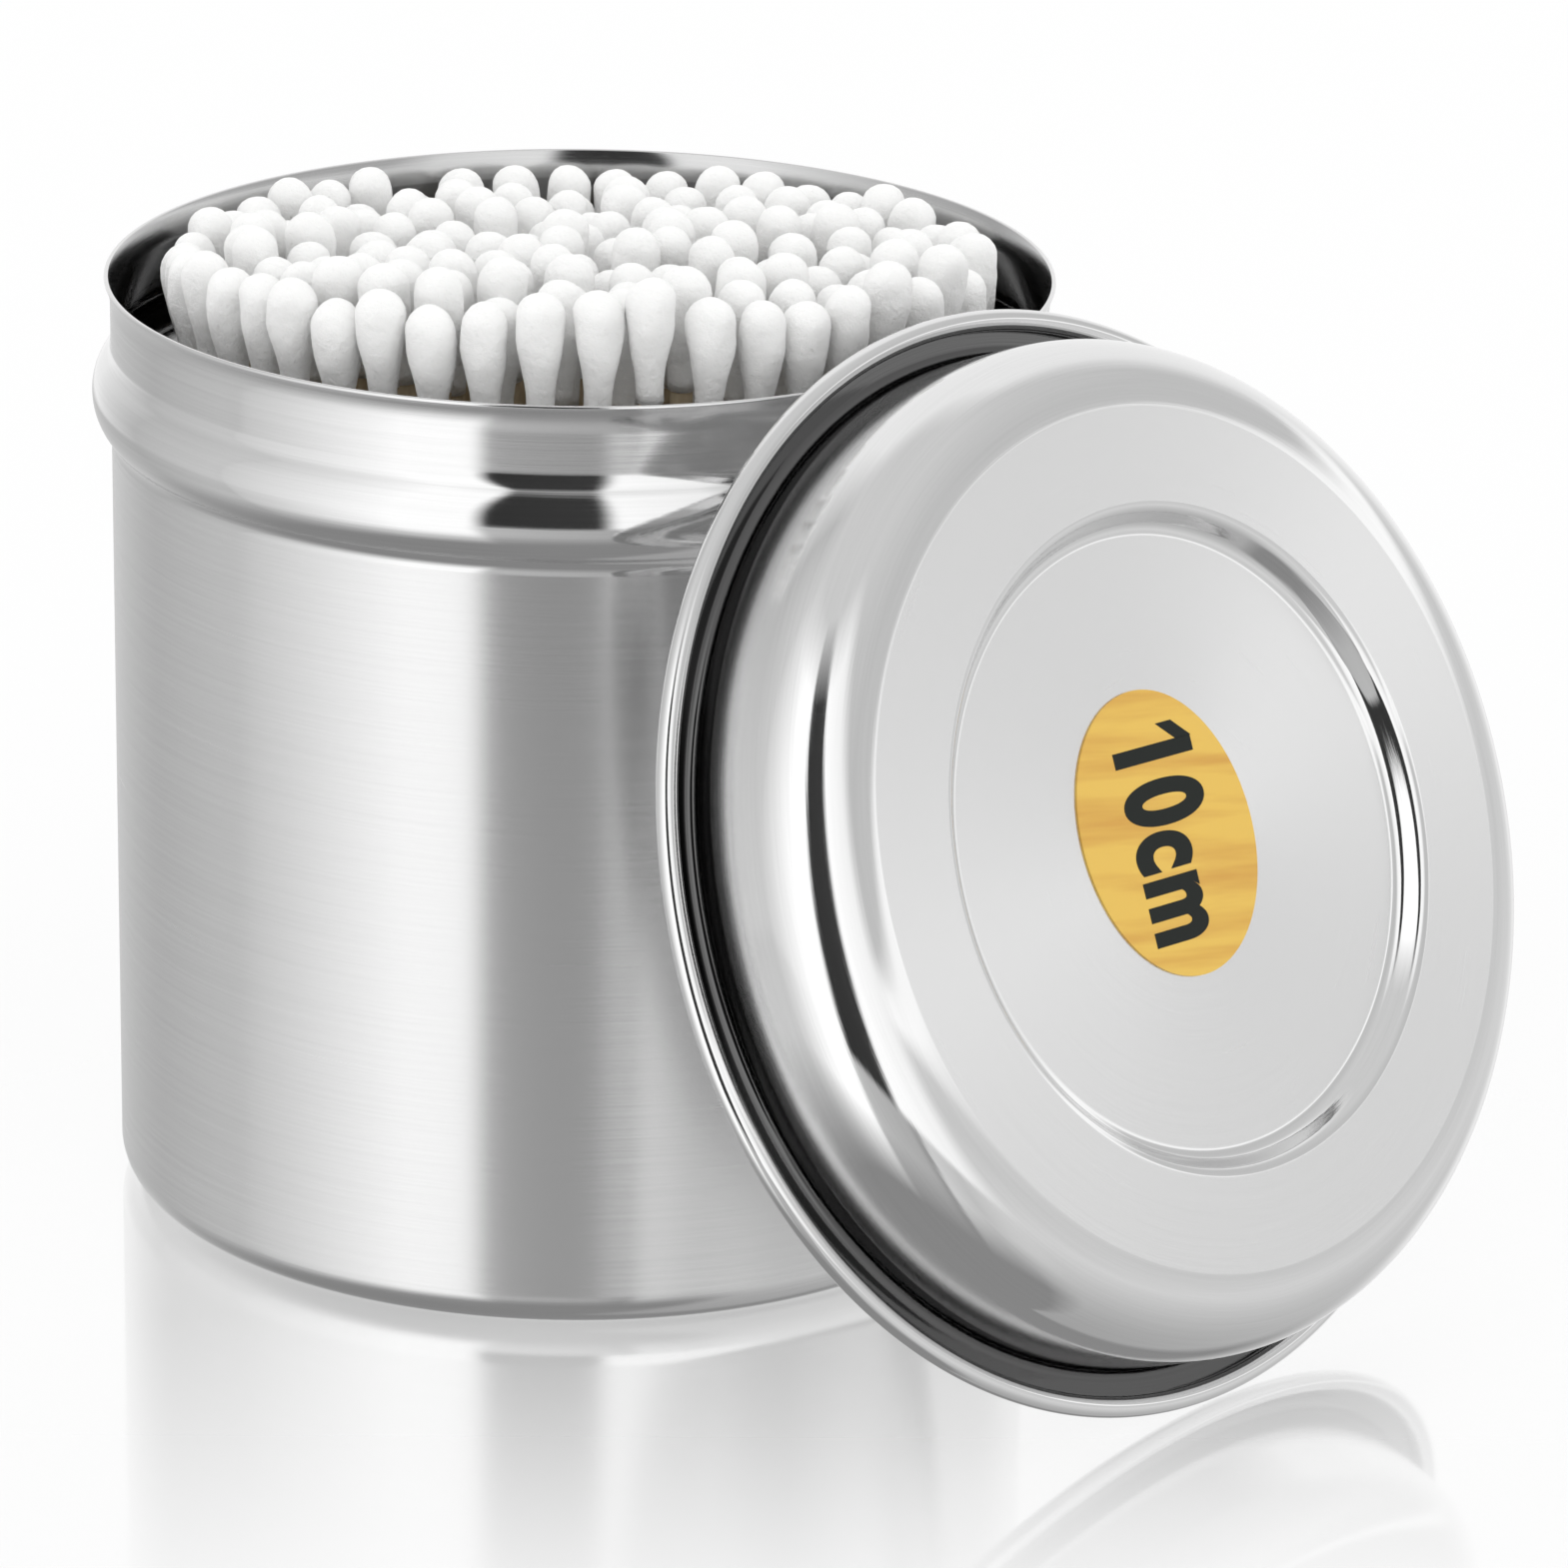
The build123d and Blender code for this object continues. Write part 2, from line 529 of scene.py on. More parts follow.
def closed_sheet(stations: np.ndarray, wall: float) -> np.ndarray:
    """The outline of a sheet with its free edge rounded over, from the axis out and back.

    The far side is each station moved by the wall's thickness along the left-hand normal of the
    outline, and the free edge is a half circle of half that thickness. Only the far side keeps the painted
    shade; the near side and the edge get none.

    Args:
        stations: radius, height, polish and painted shade of each station.
        wall: the sheet's thickness.

    Returns:
        The stations of the whole closed outline.
    """
    ahead = np.gradient(stations[:, :2], axis=0)
    ahead /= np.linalg.norm(ahead, axis=1, keepdims=True)
    left = np.stack([-ahead[:, 1], ahead[:, 0]], 1)
    left[0] = (0, 1)
    far = stations.copy()
    far[:, :2] += wall * left
    near = stations * (1, 1, 1, 0)
    middle = (stations[-1, :2] + far[-1, :2]) / 2
    swing = np.radians(np.arange(EDGE_STEP - 90, 90, EDGE_STEP))[:, None]
    edge = middle + wall / 2 * (np.cos(swing) * ahead[-1] + np.sin(swing) * left[-1])
    rounded = np.column_stack([edge, np.full(len(edge), stations[-1, 2]), np.zeros(len(edge))])
    return np.concatenate([near, rounded, far[::-1]])


def revolved(name: str, outline: np.ndarray, segments: int) -> bpy.types.Object:
    """A closed shell: the outline's point (r, z) at turn t goes to (r cos t, r sin t, z).

    The first and last stations lie on the axis and become single points. The map "sheet" holds the
    length round the widest circle and the length along the outline, both in metres.

    Args:
        name: the object's name.
        outline: radius, height, polish and painted shade, the first two in millimetres, from the axis back
            to the axis.
        segments: how many facets go round.

    Returns:
        The object, in its own frame, in metres.
    """
    ring = outline[1:-1]
    turn = np.linspace(0, 2 * np.pi, segments, endpoint=False)
    radius, height = ring[:, :1], ring[:, 1:2]
    across = radius * np.cos(turn)
    grid = np.stack([across, radius * np.sin(turn), np.broadcast_to(height, across.shape)], -1)
    poles = np.array([[0, 0, outline[0, 1]], [0, 0, outline[-1, 1]]])
    points = np.concatenate([grid.reshape(-1, 3), poles]) * MM
    rows, cols = np.meshgrid(np.arange(len(ring) - 1), np.arange(segments), indexing="ij")
    after = (cols + 1) % segments
    low, high = rows * segments, (rows + 1) * segments
    quads = np.stack([low + cols, low + after, high + after, high + cols], -1).reshape(-1, 4)
    first, last = len(points) - 2, len(points) - 1
    fan = np.arange(segments)
    turned = (fan + 1) % segments
    tail = (len(ring) - 1) * segments
    near_cap = np.stack([np.full(segments, first), turned, fan], 1)
    far_cap = np.stack([np.full(segments, last), tail + fan, tail + turned], 1)
    mesh = bpy.data.meshes.new(name)
    mesh.from_pydata(points.tolist(), [], quads.tolist() + near_cap.tolist() + far_cap.tolist())
    length = np.concatenate([[0], np.cumsum(np.linalg.norm(np.diff(outline[:, :2], axis=0), axis=1))])
    round_length = 2 * np.pi * outline[:, 0].max()
    u = np.stack([cols, cols + 1, cols + 1, cols], -1) / segments * round_length
    begin, end = length[1:][rows], length[1:][rows + 1]
    v = np.stack([begin, begin, end, end], -1)
    cap_u = np.stack([fan + 0.5, fan + 1, fan], 1) / segments * round_length
    far_u = np.stack([fan + 0.5, fan, fan + 1], 1) / segments * round_length
    near_v = np.tile([0.0, length[1], length[1]], (segments, 1))
    far_v = np.tile([length[-1], length[-2], length[-2]], (segments, 1))
    flat_u = np.concatenate([u.ravel(), cap_u.ravel(), far_u.ravel()])
    flat_v = np.concatenate([v.ravel(), near_v.ravel(), far_v.ravel()])
    layer = mesh.uv_layers.new(name=SHEET_MAP)
    layer.data.foreach_set("uv", (np.stack([flat_u, flat_v], 1) * MM).ravel())
    # polish sets the roughness; the other attribute is painted shade that darkens the colour
    for column, layer_name in ((2, "polish"), (3, "painted_shade")):
        values = np.concatenate([np.repeat(ring[:, column], segments), outline[[0, -1], column]])
        mesh.attributes.new(layer_name, "FLOAT", "POINT").data.foreach_set("value", values)
    mesh.polygons.foreach_set("use_smooth", np.ones(len(mesh.polygons), bool))
    return linked(name, mesh)


def dress(piece: bpy.types.Object, material: bpy.types.Material) -> bpy.types.Object:
    """Gives a piece its material.

    Args:
        piece: the object.
        material: what it wears.

    Returns:
        The same object.
    """
    piece.data.materials.clear()
    piece.data.materials.append(material)
    return piece


@dataclass
class Canister:
    """The drawn canister, with a rolled-out bead under a plain neck. Millimetres."""

    height: float = 100.0
    rim_radius: float = 50.0
    wall: float = 0.5
    base_corner: float = 4.0
    rim_flare: float = 0.6
    flare_radius: float = 6.0
    bead_proud: float = 2.0
    bead_below_rim: float = 12.4
    crest_radius: float = 5.5
    root_radius: float = 2.5
    # painted shade on the inner face, standing in for the shade inside the canister
    inner_painted_shade: float = 0.5
    segments: int = 256

    def outline(self) -> np.ndarray:
        """The outside from the middle of the base to the lip, thickened inwards.

        Returns:
            Radius, height, polish and painted shade of each station.
        """
        tube = self.rim_radius - self.rim_flare
        swing = math.acos(1 - self.bead_proud / (self.crest_radius + self.root_radius))
        half = (self.crest_radius + self.root_radius) * math.sin(swing)
        crest = self.height - self.bead_below_rim
        flare = math.acos(1 - self.rim_flare / self.flare_radius)
        flare_start = self.height - (self.flare_radius + self.wall) * math.sin(flare)
        walk = Walk((0.0, 0.0))
        # Painted shade on the whole inner face, half of it on the flared lip, for the shade inside the
        # canister.
        inside_painted_shade = self.inner_painted_shade
        walk.go(tube - self.base_corner, 0, Polish.SATIN, inside_painted_shade)
        walk.go(self.base_corner, 90, Polish.FINE, inside_painted_shade)
        walk.go(crest - half - self.base_corner, 0, Polish.SATIN, inside_painted_shade)
        walk.go(self.root_radius, -math.degrees(swing), Polish.BRIGHT, inside_painted_shade)
        walk.go(self.crest_radius, 2 * math.degrees(swing), Polish.BRIGHT, inside_painted_shade)
        walk.go(self.root_radius, -math.degrees(swing), Polish.BRIGHT, inside_painted_shade)
        walk.go(flare_start - crest - half, 0, Polish.FINE, inside_painted_shade)
        walk.go(self.flare_radius, -math.degrees(flare), Polish.FINE, inside_painted_shade / 2)
        return closed_sheet(walk.stations(), self.wall)

    def build(self, steel: bpy.types.Material) -> bpy.types.Object:
        """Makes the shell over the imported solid.

        Args:
            steel: its material.

        Returns:
            The shell.
        """
        shell = revolved("canister_shell", self.outline(), self.segments)
        dress(shell, steel)
        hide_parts("jar_body")
        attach(shell, "jar")
        return shell


@dataclass
class Lid:
    """The leaning lid with its recessed disc, curled edge and oval label. Millimetres."""

    rim_radius: float = 50.0
    jar_height: float = 100.0
    wall: float = 0.5
    fit: float = 1.3
    height: float = 18.0
    shoulder: float = 7.5
    foot: float = 1.6
    curl_radius: float = 1.1
    flange_reach: float = 4.2
    curl_turn: float = 290.0
    recess_radius: float = 31.0
    recess_depth: float = 2.4
    step_angle: float = 58.0
    step_hollow: float = 2.0
    step_crown: float = 0.9
    lean_bearing: float = 45.0
    flange_rest: float = 0.39
    lean_offset: float = 0.5
    rest_gap: float = 0.3
    label_length: float = 29.4
    label_width: float = 24.4
    label_thickness: float = 0.2
    label_segments: int = 96
    label_turn: float = 96.0
    label_shift: tuple[float, float] = (-1.4, 1.1)
    mark_size: float = 10.2
    mark_weight: float = 0.42
    mark_spacing: float = 1.12
    mark_gap: float = 0.02
    mark_stretch: tuple[float, float] = (0.88, 1.48)
    flag_overlap: float = 0.05
    mark_flag: tuple[float, float, float] = (1.9, 2.4, 2.3)
    mark_lift: float = 0.5
    mark_turn: float = 171.4
    grain_turn: float = 17.2
    # painted shade in the groove between skirt and curl and up the lowest part of the skirt, standing in for
    # the dark the groove holds and reflects
    painted_shade_rise: float = 1.5
    groove_painted_shade: float = 0.87
    segments: int = 256

    def place(self) -> Matrix:
        """Leans the lid: its curl stands on the floor and its flange rests against the rim.

        Returns:
            The matrix from the lid's own frame to the leaning place, in metres.
        """
        bearing = math.radians(self.lean_bearing)
        span = 2 * (self.rim_radius + self.fit) + self.flange_reach + self.flange_rest
        rise = (self.jar_height - self.rest_gap - self.curl_radius) / math.hypot(span, self.curl_radius)
        lean = math.acos(rise) - math.atan2(self.curl_radius, span)
        outward = np.array([math.cos(bearing), -math.sin(bearing), 0.0])
        sideways = np.array([math.sin(bearing), math.cos(bearing), 0.0])
        curl_centre = self.rim_radius + self.fit + self.flange_reach
        middle_height = self.rest_gap + self.curl_radius * (1 - math.sin(lean))
        middle_height += curl_centre * math.cos(lean)
        reach = self.rim_radius + self.rest_gap / math.cos(lean)
        reach += (self.jar_height - middle_height) * math.tan(lean)
        middle = outward * reach + sideways * self.lean_offset + np.array([0, 0, middle_height])
        axis = outward * math.cos(lean) + np.array([0, 0, math.sin(lean)])
        upward = np.cross(axis, sideways)
        turned = np.eye(4)
        turned[:3, :3] = np.stack([sideways, upward, axis], 1)
        turned[:3, 3] = middle * MM
        return Matrix(turned.tolist())

    def outline(self) -> np.ndarray:
        """The under-side from the middle of the disc to the end of the curl, thickened outwards.

        Returns:
            Radius, height, polish and painted shade of each station.
        """
        step = math.radians(self.step_angle)
        under_ring = self.height - self.wall
        turned = self.step_hollow + self.step_crown
        ramp = (self.recess_depth - turned * (1 - math.cos(step))) / math.sin(step)
        run = turned * math.sin(step) + ramp * math.cos(step)
        skirt_inner = self.rim_radius + self.fit
        walk = Walk((0.0, under_ring - self.recess_depth))
        walk.go(self.recess_radius, 0, Polish.SATIN)
        walk.go(self.step_hollow, self.step_angle, Polish.BRIGHT)
        walk.go(ramp, 0, Polish.BRIGHT)
        walk.go(self.step_crown, -self.step_angle, Polish.BRIGHT)
        walk.go(skirt_inner - self.shoulder - self.recess_radius - run, 0, Polish.SATIN)
        walk.go(self.shoulder, -90, Polish.BRIGHT)
        walk.go(under_ring - self.shoulder - self.foot - self.painted_shade_rise, 0, Polish.FINE)
        # Painted shade: the lowest part of the skirt, the foot and the flange are darkened for the shade in
        # the groove.
        walk.go(self.painted_shade_rise, 0, Polish.FINE, self.groove_painted_shade)
        walk.go(self.foot, 90, Polish.BRIGHT, self.groove_painted_shade)
        walk.go(self.flange_reach - self.foot, 0, Polish.BRIGHT, self.groove_painted_shade)
        walk.go(self.curl_radius, self.curl_turn, Polish.BRIGHT)
        return closed_sheet(walk.stations(), self.wall)

    def label_face(self) -> bpy.types.Object:
        """The label as a low closed oval: rings of the ellipse (a s cos t, b s sin t), s from 0 to 1.

        Returns:
            The label around its own middle, with its underside at height 0.
        """
        count = self.label_segments
        turn = np.linspace(0, 2 * np.pi, count, endpoint=False)
        shares = np.array([0.5, 1.0, 1.0])[:, None]
        heights = np.array([self.label_thickness, self.label_thickness, 0.0])[:, None]
        across = self.label_length / 2 * shares * np.cos(turn)
        along = self.label_width / 2 * shares * np.sin(turn)
        rings = np.stack([across, along, np.broadcast_to(heights, across.shape)], -1)
        points = np.concatenate([rings.reshape(-1, 3), [[0, 0, self.label_thickness], [0, 0, 0]]])
        here, after = np.arange(count), (np.arange(count) + 1) % count
        top, bottom, last = len(points) - 2, len(points) - 1, (len(shares) - 1) * count
        faces = np.stack([np.full(count, top), here, after], 1).tolist()
        for low in range(0, last, count):
            high = low + count
            faces += np.stack([low + here, high + here, high + after, low + after], 1).tolist()
        faces += np.stack([np.full(count, bottom), last + after, last + here], 1).tolist()
        mesh = bpy.data.meshes.new("label_face")
        mesh.from_pydata((points * MM).tolist(), [], faces)
        corners = np.zeros(len(mesh.loops), int)
        mesh.loops.foreach_get("vertex_index", corners)
        layer = mesh.uv_layers.new(name=SHEET_MAP)
        swing = math.radians(self.grain_turn)
        turned = np.array([[math.cos(swing), math.sin(swing)], [-math.sin(swing), math.cos(swing)]])
        layer.data.foreach_set("uv", (points[corners][:, :2] @ turned * MM).ravel())
        return linked("label_face", mesh)

    def size_mark(self) -> bpy.types.Object:
        """The plain size lettering, a flat mesh just above the label, with a flag on its first figure.

        Returns:
            The lettering, centred on the label's middle before it is turned and placed.
        """
        curve = bpy.data.curves.new("size_mark", "FONT")
        curve.body = "10cm"
        curve.size = self.mark_size
        curve.offset = self.mark_weight
        curve.align_x = "CENTER"
        curve.align_y = "CENTER"
        curve.space_character = self.mark_spacing
        letters = linked("size_mark_text", curve)
        bpy.context.view_layer.update()
        shown = letters.evaluated_get(bpy.context.evaluated_depsgraph_get())
        mesh = bpy.data.meshes.new_from_object(shown)
        bpy.data.objects.remove(letters)
        points = np.zeros(len(mesh.vertices) * 3)
        mesh.vertices.foreach_get("co", points)
        points = points.reshape(-1, 3)
        middle = (points.min(0) + points.max(0)) / 2
        points = (points - middle) * (*self.mark_stretch, 1.0)
        faces = [list(face.vertices) for face in mesh.polygons]
        left, top = points[:, 0].min(), points[:, 1].max()
        reach, drop, thick = self.mark_flag
        overlap = left + self.flag_overlap
        flag = [
            (left - reach, top - drop - thick, 0.0),
            (overlap, top - thick, 0.0),
            (overlap, top, 0.0),
            (left - reach, top - drop, 0.0),
        ]
        faces.append([len(points) + corner for corner in range(len(flag))])
        shift = (reach / 2, self.mark_lift, self.label_thickness + self.mark_gap)
        points = np.concatenate([points, flag]) + shift
        mesh = bpy.data.meshes.new("size_mark")
        mesh.from_pydata((points * MM).tolist(), [], faces)
        return linked("size_mark", mesh)

    def build(
        self, steel: bpy.types.Material, wood_print: bpy.types.Material, ink: bpy.types.Material
    ) -> list[bpy.types.Object]:
        """Makes the shell, the label and its size mark in the leaning place.

        Args:
            steel: the shell's material.
            wood_print: the label's material.
            ink: the lettering's material.

        Returns:
            The three pieces.
        """
        place = self.place()
        shell = revolved("lid_sheet", self.outline(), self.segments)
        shell.data.transform(place)
        dress(shell, steel)
        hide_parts("lid_shell")
        disc_middle = np.array([*self.label_shift, self.height - self.recess_depth]) * MM
        seat = place @ Matrix.Translation(disc_middle)
        oval = self.label_face()
        label_turn = math.radians(self.label_turn)
        oval.data.transform(seat @ Matrix.Rotation(label_turn, 4, "Z"))
        dress(oval, wood_print)
        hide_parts("size_label")
        mark = self.size_mark()
        mark_turn = math.radians(self.label_turn + self.mark_turn)
        mark.data.transform(seat @ Matrix.Rotation(mark_turn, 4, "Z"))
        dress(mark, ink)
        for piece in (shell, oval, mark):
            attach(piece, "lid")
        return [shell, oval, mark]


@dataclass
class SwabBundle:
    """The standing swabs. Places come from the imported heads; the round form is made here."""

    seed: int = 5
    around: int = 20
    along: int = 15
    crown_rings: int = 6
    crown_turn: float = 1.45
    neck_radius: float = 0.00142
    widest_radius: float = 0.0025
    plumpness: Span = (0.95, 1.04)
    swell_span: Span = (0.12, 0.70)
    bow: float = 0.00018
    lumpiness: float = 0.07
    lump_measure: float = 1.6
    waves: tuple[Triple, ...] = ((1.0, 2.0, 5.0), (0.8, 3.0, -9.0), (0.5, 1.0, 17.0))
    phases: int = 6

    def axes_of(self, node: bpy.types.Object) -> tuple[np.ndarray, np.ndarray]:
        """The foot and tip of each packed head, along the direction in which its corners spread most.

        Args:
            node: a packed group of heads.

        Returns:
            Two arrays of points, feet and tips.
        """
        points = np.zeros(len(node.data.vertices) * 3)
        node.data.vertices.foreach_get("co", points)
        points = points.reshape(-1, 3)
        corners = np.zeros(len(node.data.polygons) * 3, int)
        node.data.polygons.foreach_get("vertices", corners)
        feet, tips = [], []
        for island in self.islands(points, corners.reshape(-1, 3)):
            middle = island.mean(0)
            axis = np.linalg.svd(island - middle, full_matrices=False)[2][0]
            axis *= math.copysign(1.0, axis[2])
            reach = (island - middle) @ axis
            feet.append(middle + axis * reach.min())
            tips.append(middle + axis * reach.max())
        return np.array(feet), np.array(tips)

    def islands(self, points: np.ndarray, faces: np.ndarray) -> list[np.ndarray]:
        """Splits loose triangles into solids: corners in one place are one, and labels spread by faces.

        Args:
            points: every corner.
            faces: the triangles.

        Returns:
            The distinct corners of each solid.
        """
        places, same = np.unique(np.round(points, 6), axis=0, return_inverse=True)
        joined = same.ravel()[faces]
        label = np.arange(len(places))
        while True:
            least = label[joined].min(1)
            spread = label.copy()
            np.minimum.at(spread, joined.ravel(), np.repeat(least, 3))
            if (spread == label).all():
                break
            label = spread
        return [places[label == one] for one in np.unique(label[joined])]

    def head(self, foot: np.ndarray, tip: np.ndarray, dice: np.random.Generator) -> np.ndarray:
        """One bud as a grid of rings between its two poles.

        At share s of the length the radius is the neck's, then swells on a smooth step to the widest
        part and closes on a quarter ellipse. Three waves of random phase make it lumpy, each with a
        weight, a number of folds round the bud and a climb along it. Six phases are drawn: the waves
        take three and the direction of the bud's bend takes one.

        Args:
            foot: where the cotton starts on the stick.
            tip: the top of the bud.
            dice: the source of chance.

        Returns:
            The points, rings first, then the lower and the upper pole.
        """
        length = np.linalg.norm(tip - foot)
        axis = (tip - foot) / length
        side = np.cross(axis, (0.0, 1.0, 0.0))
        side /= np.linalg.norm(side)
        cross = np.cross(axis, side)
        widest = self.widest_radius * dice.uniform(*self.plumpness)
        close = 1 - widest / length
        below = np.linspace(0, close, self.along - self.crown_rings + 1)[:-1]
        crown = close + (1 - close) * np.sin(np.linspace(0, self.crown_turn, self.crown_rings))
        share = np.concatenate([below, crown])
        begin, end = self.swell_span
        swell = np.clip((share - begin) / (end - begin), 0, 1)
        swell = swell * swell * (3 - 2 * swell)
        radius = self.neck_radius + (widest - self.neck_radius) * swell
        past = np.clip((share - close) / (1 - close), 0, 1)
        radius = radius * np.sqrt(np.clip(1 - past**2, 0, 1))
        turn = np.linspace(0, 2 * np.pi, self.around, endpoint=False)
        phase = dice.uniform(0, 2 * np.pi, self.phases)
        lump = sum(
            weight * np.sin(folds * turn + climb * share[:, None] + shift)
            for (weight, folds, climb), shift in zip(self.waves, phase)
        )
        swollen = radius[:, None] * (1 + self.lumpiness * lump * swell[:, None] / self.lump_measure)
        bend = self.bow * np.sin(np.pi * share)
        across = np.cos(phase[3]) * side + np.sin(phase[3]) * cross
        rings = (
            foot
            + share[:, None, None] * length * axis
            + bend[:, None, None] * across
            + swollen[..., None] * (np.cos(turn)[None, :, None] * side + np.sin(turn)[None, :, None] * cross)
        )
        return np.concatenate([rings.reshape(-1, 3), [foot], [foot + axis * length]])

    def faces(self) -> np.ndarray:
        """The triangles of one bud's grid, both poles closed.

        Returns:
            Three corners for each triangle.
        """
        rows, cols = np.meshgrid(np.arange(self.along - 1), np.arange(self.around), indexing="ij")
        after = (cols + 1) % self.around
        low, high = rows * self.around, (rows + 1) * self.around
        halves = [
            np.stack([low + cols, low + after, high + after], -1),
            np.stack([low + cols, high + after, high + cols], -1),
        ]
        here = np.arange(self.around)
        turned = (here + 1) % self.around
        top, lower = (self.along - 1) * self.around, self.along * self.around
        caps = [
            np.stack([np.full(self.around, lower), turned, here], -1),
            np.stack([np.full(self.around, lower + 1), top + here, top + turned], -1),
        ]
        return np.concatenate([part.reshape(-1, 3) for part in halves + caps])

    def build(
        self, frame: dict, cotton: bpy.types.Material, birch: bpy.types.Material
    ) -> list[bpy.types.Object]:
        """Makes one mesh of buds for each packed ring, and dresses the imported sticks.

        Args:
            frame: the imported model.
            cotton: the heads' material.
            birch: the sticks' material.

        Returns:
            The meshes of heads.
        """
        dice = np.random.default_rng(self.seed)
        pattern = self.faces()
        made = []
        for name in sorted(n for n in frame["nodes"] if n.startswith("cotton_heads_")):
            feet, tips = self.axes_of(frame["nodes"][name])
            buds = [self.head(foot, tip, dice) for foot, tip in zip(feet, tips)]
            step = len(buds[0])
            triangles = np.concatenate([pattern + index * step for index in range(len(buds))])
            mesh = bpy.data.meshes.new(name + "_wound")
            mesh.from_pydata(np.concatenate(buds).tolist(), [], triangles.tolist())
            mesh.polygons.foreach_set("use_smooth", np.ones(len(mesh.polygons), bool))
            piece = linked(name + "_wound", mesh)
            dress(piece, cotton)
            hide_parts(name)
            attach(piece, "jar")
            made.append(piece)
        for name in (n for n in frame["nodes"] if n.startswith("swab_sticks_")):
            frame["nodes"][name].data.materials.clear()
            frame["nodes"][name].data.materials.append(birch)
        return made


@dataclass
class Studio:
    """Pale glossy floor, soft panels all round, and the camera."""

    eye_distance: float = 782.96
    eye_height: float = 319.98
    yaw: float = 0.0284
    pitch: float = 0.34
    roll: float = 0.0156
    focal_pixels: float = 7714.4
    picture_pixels: float = 1569.0
    sensor_mm: float = 36.0
    clip_start: float = 0.01
    floor_radius: float = 6.0
    floor_sides: int = 64
    floor_tone: float = 0.82
    floor_glow: float = 0.80
    mirror_roughness: float = 0.06
    mirror_depth: Span = (-0.125, -0.045)
    mirror_shares: Span = (0.02, 0.52)
    mirror_middle: Triple = (0.02, -0.07, 0.0)
    mirror_reach: Span = (0.10, 0.16)
    even_light: float = 1.2
    overhead: float = 0.74
    underneath: float = 0.30
    below_panels: Span = (-0.50, -0.80)
    panel_edge: Span = (-0.27, -0.22)
    above_panels: Span = (0.80, 0.93)
    low_panels: Stops = (
        (-90, 0.72), (-77, 0.86), (-50, 1.24), (-44, 1.34), (-26, 1.34), (-22, 0.64), (-10, 0.58), (8, 0.52),
        (14, 0.36), (17, 0.80), (30, 0.66), (50, 0.80), (80, 0.90), (150, 0.95), (194, 0.64), (232, 0.52),
        (262, 0.64),
    )
    high_panels: Stops = (
        (-90, 0.78), (-66, 1.05), (-44, 1.34), (-25, 1.34), (-21, 0.04), (5, 0.05), (9, 1.30),
        (40, 1.12), (66, 1.02), (100, 0.98), (125, 0.85), (155, 1.0), (205, 1.0), (235, 0.60), (266, 0.74),
    )
    side_share: Stops = ((-90, 0.0), (38, 0.0), (52, 1.0), (128, 1.0), (146, 0.0), (269, 0.0))
    side_levels: Stops = (
        (-1.0, 0.45), (-0.22, 0.80), (0.08, 0.72), (0.15, 0.76), (0.20, 1.22), (0.24, 1.18), (0.30, 0.66),
        (0.50, 0.64), (0.95, 0.74),
    )

    def panels(self, tree: Tree, bearing: Output, stops: Stops, middle: float = 0.25) -> Output:
        """Light levels by compass bearing.

        Args:
            tree: the world's nodes.
            bearing: 0 to 1, 0.25 towards the camera, rising to its right.
            stops: pairs of bearing in degrees and level.
            middle: where the bearing of 0 degrees lies on the scale.

        Returns:
            The level at that bearing.
        """
        panel = tree.nodes.new("ShaderNodeValToRGB")
        ramp = panel.color_ramp
        while len(ramp.elements) < len(stops):
            ramp.elements.new(0.5)
        for element, (degrees, level) in zip(ramp.elements, stops):
            element.position = middle + degrees / 360
            element.color = grey(level)
        tree.links.new(bearing, panel.inputs["Fac"])
        return panel.outputs["Color"]

    def blended(self, tree: Tree, share: Output, low: Output, high: Output | float) -> Output:
        """A mix of two colours.

        Args:
            tree: the world's nodes.
            share: how much of the second.
            low: the first colour.
            high: the second, a socket or a plain level.

        Returns:
            The mixed colour.
        """
        mix = tree.nodes.new("ShaderNodeMix")
        mix.data_type = "RGBA"
        tree.links.new(share, mix.inputs[0])
        tree.links.new(low, mix.inputs[6])
        if isinstance(high, float):
            mix.inputs[7].default_value = grey(high)
        else:
            tree.links.new(high, mix.inputs[7])
        return mix.outputs[2]

    def world(self) -> None:
        """Panels mirrored by the steel, an even light on everything else, and plain white for the eye."""
        scene = bpy.context.scene
        scene.world = bpy.data.worlds.new("soft_panels")
        scene.world.use_nodes = True
        tree = scene.world.node_tree
        nodes, links = tree.nodes, tree.links
        nodes.clear()
        place = nodes.new("ShaderNodeTexCoord")
        compass = nodes.new("ShaderNodeTexGradient")
        compass.gradient_type = "RADIAL"
        links.new(place.outputs["Generated"], compass.inputs["Vector"])
        split = nodes.new("ShaderNodeSeparateXYZ")
        links.new(place.outputs["Generated"], split.inputs["Vector"])
        bearing, height = compass.outputs["Fac"], split.outputs["Z"]
        low = self.panels(tree, bearing, self.low_panels)
        high = self.panels(tree, bearing, self.high_panels)
        deep = self.blended(tree, ranged(tree, height, self.below_panels), low, self.underneath)
        around = self.blended(tree, ranged(tree, height, self.panel_edge), deep, high)
        share = self.panels(tree, bearing, self.side_share)
        levels = tuple((180 * rise, level) for rise, level in self.side_levels)
        side = self.panels(tree, ranged(tree, height, (-1.0, 1.0)), levels, 0.5)
        sided = self.blended(tree, share, around, side)
        mirrored = self.blended(tree, ranged(tree, height, self.above_panels), sided, self.overhead)
        even = nodes.new("ShaderNodeRGB")
        even.outputs[0].default_value = grey(self.even_light)
        ray = nodes.new("ShaderNodeLightPath")
        lit = self.blended(tree, ray.outputs["Is Glossy Ray"], even.outputs[0], mirrored)
        shown = self.blended(tree, ray.outputs["Is Camera Ray"], lit, 1.0)
        light = nodes.new("ShaderNodeBackground")
        leave = nodes.new("ShaderNodeOutputWorld")
        links.new(shown, light.inputs["Color"])
        links.new(light.outputs["Background"], leave.inputs["Surface"])

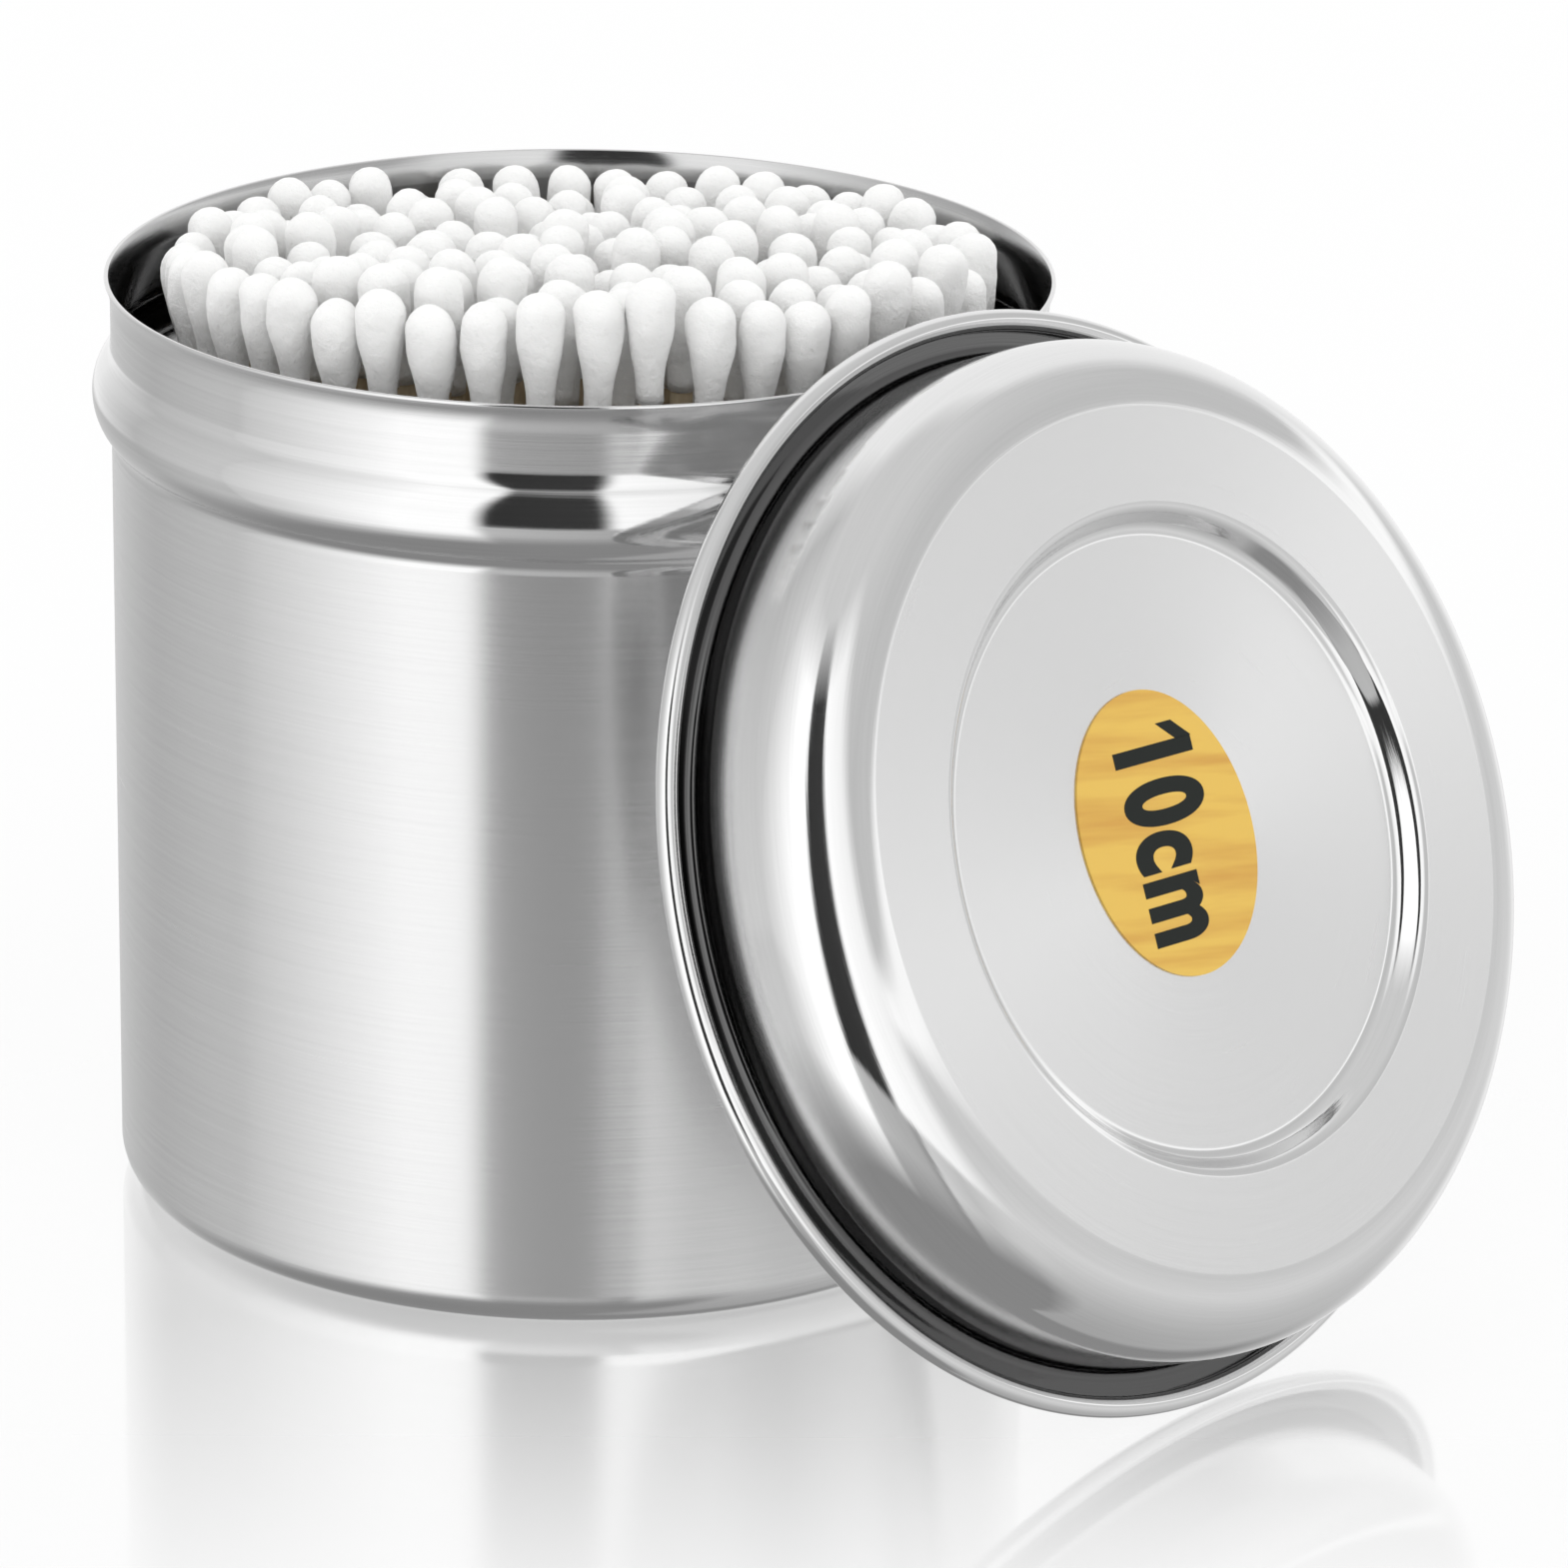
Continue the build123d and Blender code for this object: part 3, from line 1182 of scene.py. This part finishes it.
    def floor(self) -> bpy.types.Object:
        """A white floor that keeps a soft shadow and a faint mirror image near the object.

        Rays that come off something glossy pass through it, so the steel mirrors the panels alone.

        Returns:
            The floor.
        """
        turn = np.linspace(0, 2 * np.pi, self.floor_sides, endpoint=False)
        points = np.stack([np.cos(turn), np.sin(turn), np.zeros_like(turn)], 1) * self.floor_radius
        mesh = bpy.data.meshes.new("floor")
        mesh.from_pydata(points.tolist(), [], [list(range(self.floor_sides))])
        plane = linked("floor", mesh)
        made, tree = started("glossy_white_floor")
        nodes, links = tree.nodes, tree.links
        nodes.clear()
        matt = nodes.new("ShaderNodeBsdfDiffuse")
        socket(matt, "Color", grey(self.floor_tone))
        white = nodes.new("ShaderNodeEmission")
        socket(white, "Color", grey(1.0))
        ray = nodes.new("ShaderNodeLightPath")
        glow = combined(tree, "MULTIPLY", ray.outputs["Is Camera Ray"], self.floor_glow)
        lit = mixed(tree, glow, matt.outputs["BSDF"], white.outputs["Emission"])
        mirror = nodes.new("ShaderNodeBsdfGlossy")
        socket(mirror, "Roughness", self.mirror_roughness)
        socket(mirror, "Color", grey(1.0))
        place = nodes.new("ShaderNodeTexCoord")
        split = nodes.new("ShaderNodeSeparateXYZ")
        links.new(place.outputs["Object"], split.inputs["Vector"])
        fade = ranged(tree, split.outputs["Y"], self.mirror_depth, self.mirror_shares)
        far = nodes.new("ShaderNodeVectorMath")
        far.operation = "DISTANCE"
        far.inputs[1].default_value = self.mirror_middle
        links.new(place.outputs["Object"], far.inputs[0])
        near = ranged(tree, far.outputs["Value"], self.mirror_reach, (1.0, 0.0))
        both = mixed(tree, combined(tree, "MULTIPLY", fade, near), lit, mirror.outputs["BSDF"])
        clear = nodes.new("ShaderNodeBsdfTransparent")
        passing = mixed(tree, ray.outputs["Is Glossy Ray"], both, clear.outputs["BSDF"])
        leave = nodes.new("ShaderNodeOutputMaterial")
        links.new(passing, leave.inputs["Surface"])
        mesh.materials.append(made)
        return plane

    def camera(self) -> bpy.types.Object:
        """The camera at the photograph's viewing angle.

        Returns:
            The camera.
        """
        yaw, pitch, roll = self.yaw, self.pitch, self.roll
        level = math.cos(pitch)
        forward = np.array([math.sin(yaw) * level, math.cos(yaw) * level, -math.sin(pitch)])
        right = np.array([math.cos(yaw), -math.sin(yaw), 0.0])
        up = np.cross(right, forward)
        across = math.cos(roll) * right + math.sin(roll) * up
        upward = math.cos(roll) * up - math.sin(roll) * right
        turned = np.eye(4)
        turned[:3, :3] = np.stack([across, upward, -forward], 1)
        turned[:3, 3] = np.array([0, -self.eye_distance, self.eye_height]) * MM
        data = bpy.data.cameras.new("camera")
        data.sensor_width = self.sensor_mm
        data.lens = self.focal_pixels / self.picture_pixels * self.sensor_mm
        data.clip_start = self.clip_start
        made = linked("camera", data)
        made.matrix_world = Matrix(turned.tolist())
        bpy.context.scene.camera = made
        return made

    def settings(self) -> None:
        """Render settings: plain colours, a square picture."""
        scene = bpy.context.scene
        scene.render.engine = "CYCLES"
        scene.view_settings.view_transform = "Standard"
        scene.render.resolution_x = round(self.picture_pixels)
        scene.render.resolution_y = round(self.picture_pixels)
        scene.cycles.samples = 40
        scene.cycles.use_adaptive_sampling = True
        scene.cycles.adaptive_threshold = 0.05
        scene.cycles.use_denoising = True
        scene.cycles.max_bounces = 8
        scene.cycles.diffuse_bounces = 3
        scene.cycles.glossy_bounces = 5


def main() -> None:
    """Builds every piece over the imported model."""
    logging.basicConfig(level=logging.INFO, format="%(name)s: %(message)s")
    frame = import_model()
    brushing = Brushing().group()
    jar_steel = SteelFinish(
        name="canister_steel",
        tone=0.74,
        satin_roughness=0.25,
        bright_roughness=0.08,
        grain_depth=0.4,
        anisotropy=0.85,
        streaks=0.045,
    ).material(brushing)
    lid_steel = SteelFinish(
        name="lid_steel",
        tone=0.78,
        satin_roughness=0.25,
        bright_roughness=0.06,
        grain_depth=0.35,
        anisotropy=0.75,
        streaks=0.03,
    ).material(brushing)
    ink = PlainFinish(name="dark_ink", colour=(0.012, 0.015, 0.013), roughness=0.6).material()
    pieces = [Canister().build(jar_steel)]
    pieces += Lid().build(lid_steel, WoodPrintFinish().material(), ink)
    pieces += SwabBundle().build(frame, CottonFinish().material(), BirchFinish().material())
    for piece in pieces:
        log.info("%s: %d faces", piece.name, len(piece.data.polygons))
    studio = Studio()
    studio.settings()
    studio.world()
    studio.floor()
    studio.camera()


if __name__ == "__main__":
    main()
